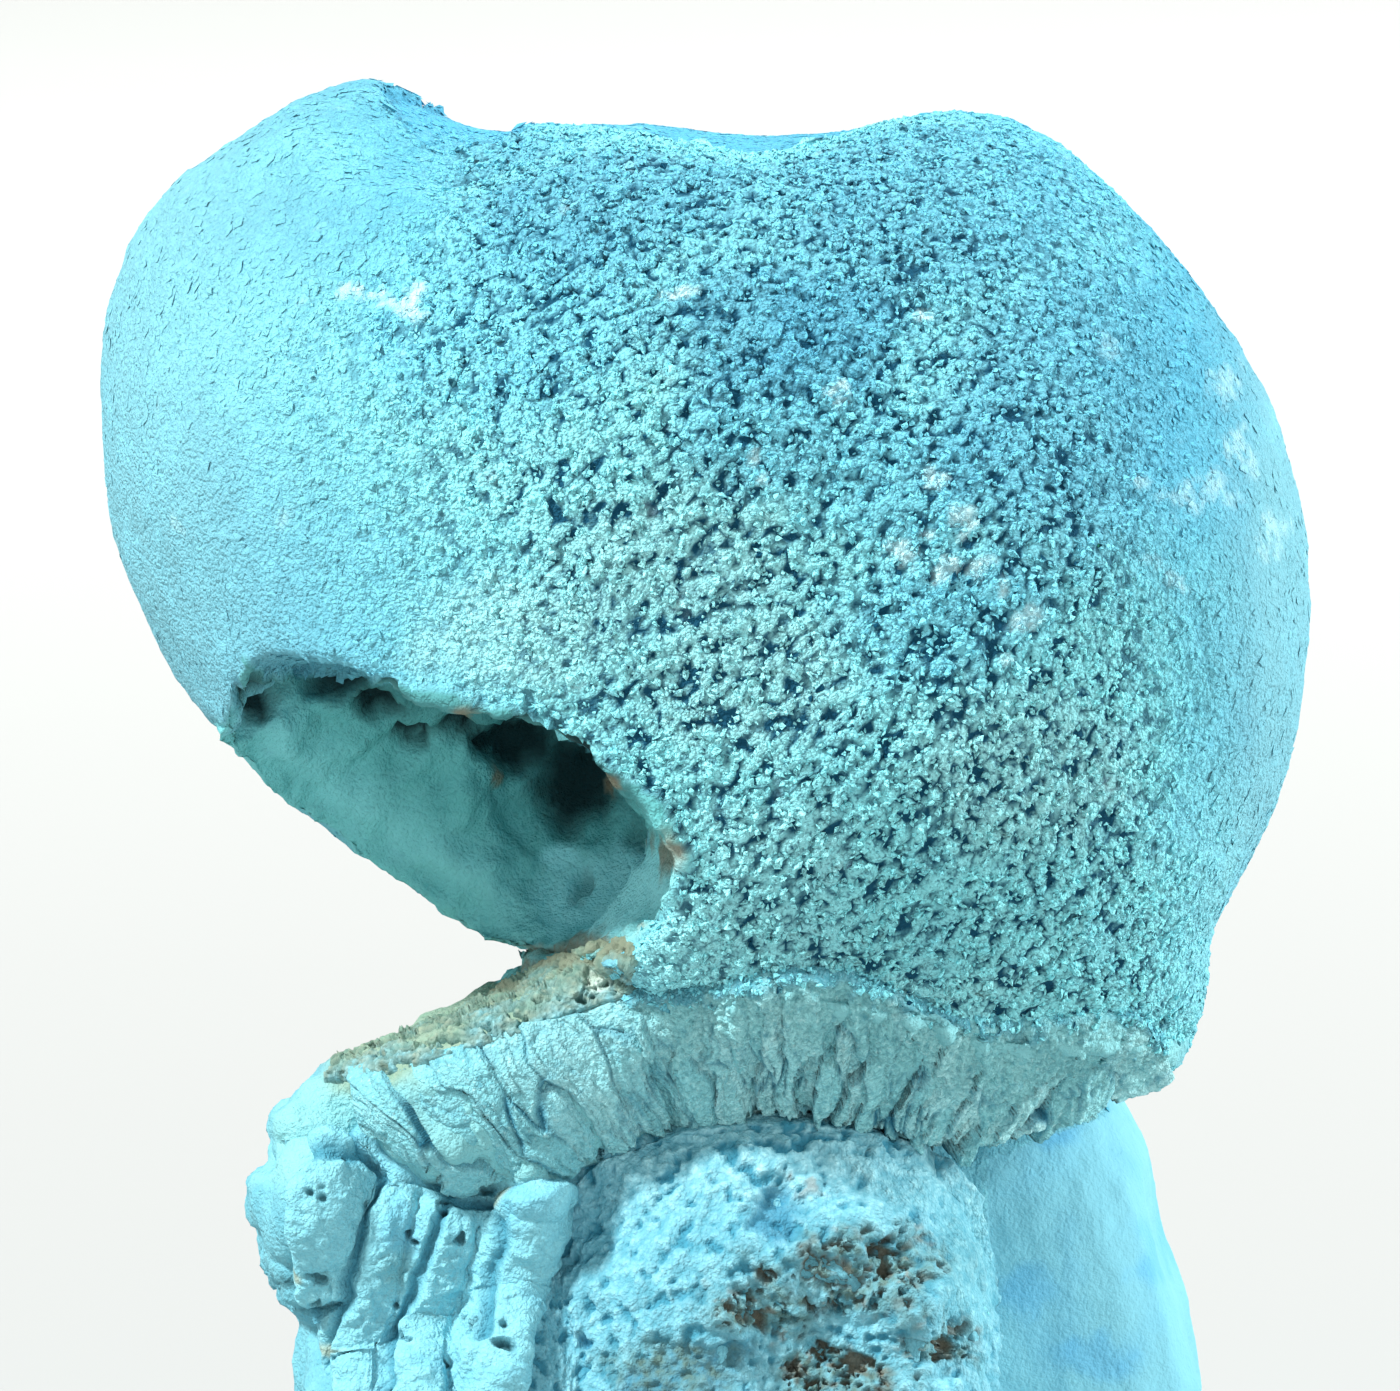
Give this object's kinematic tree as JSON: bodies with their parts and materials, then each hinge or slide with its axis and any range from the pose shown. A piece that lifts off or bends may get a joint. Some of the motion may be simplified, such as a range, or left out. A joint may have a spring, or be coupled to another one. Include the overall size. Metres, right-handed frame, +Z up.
{
  "type": "shattuckite specimen",
  "caption": "Powder-blue mineral specimen: a velvety ball with an open mouth over a broken jaw, on a short fibrous stem cut off flat at the foot so that it stands upright.",
  "frame": {"origin": "on the flat foot, under the middle of the ball", "axes": "+Z up along the specimen's height, +X to the right and +Y to the back, seen from the side with the mouth"},
  "size_m": [0.0305, 0.0262, 0.0401],
  "materials": {
    "shattuckite": "matt powder-blue velvet of fine grains on the ball, paler grey-blue silky fibres where it is broken, iron-brown stains at the mouth and in the bud's pits"
  },
  "bodies": {
    "root": {"shattuckite_specimen": "shattuckite"}
  },
  "joints": []
}
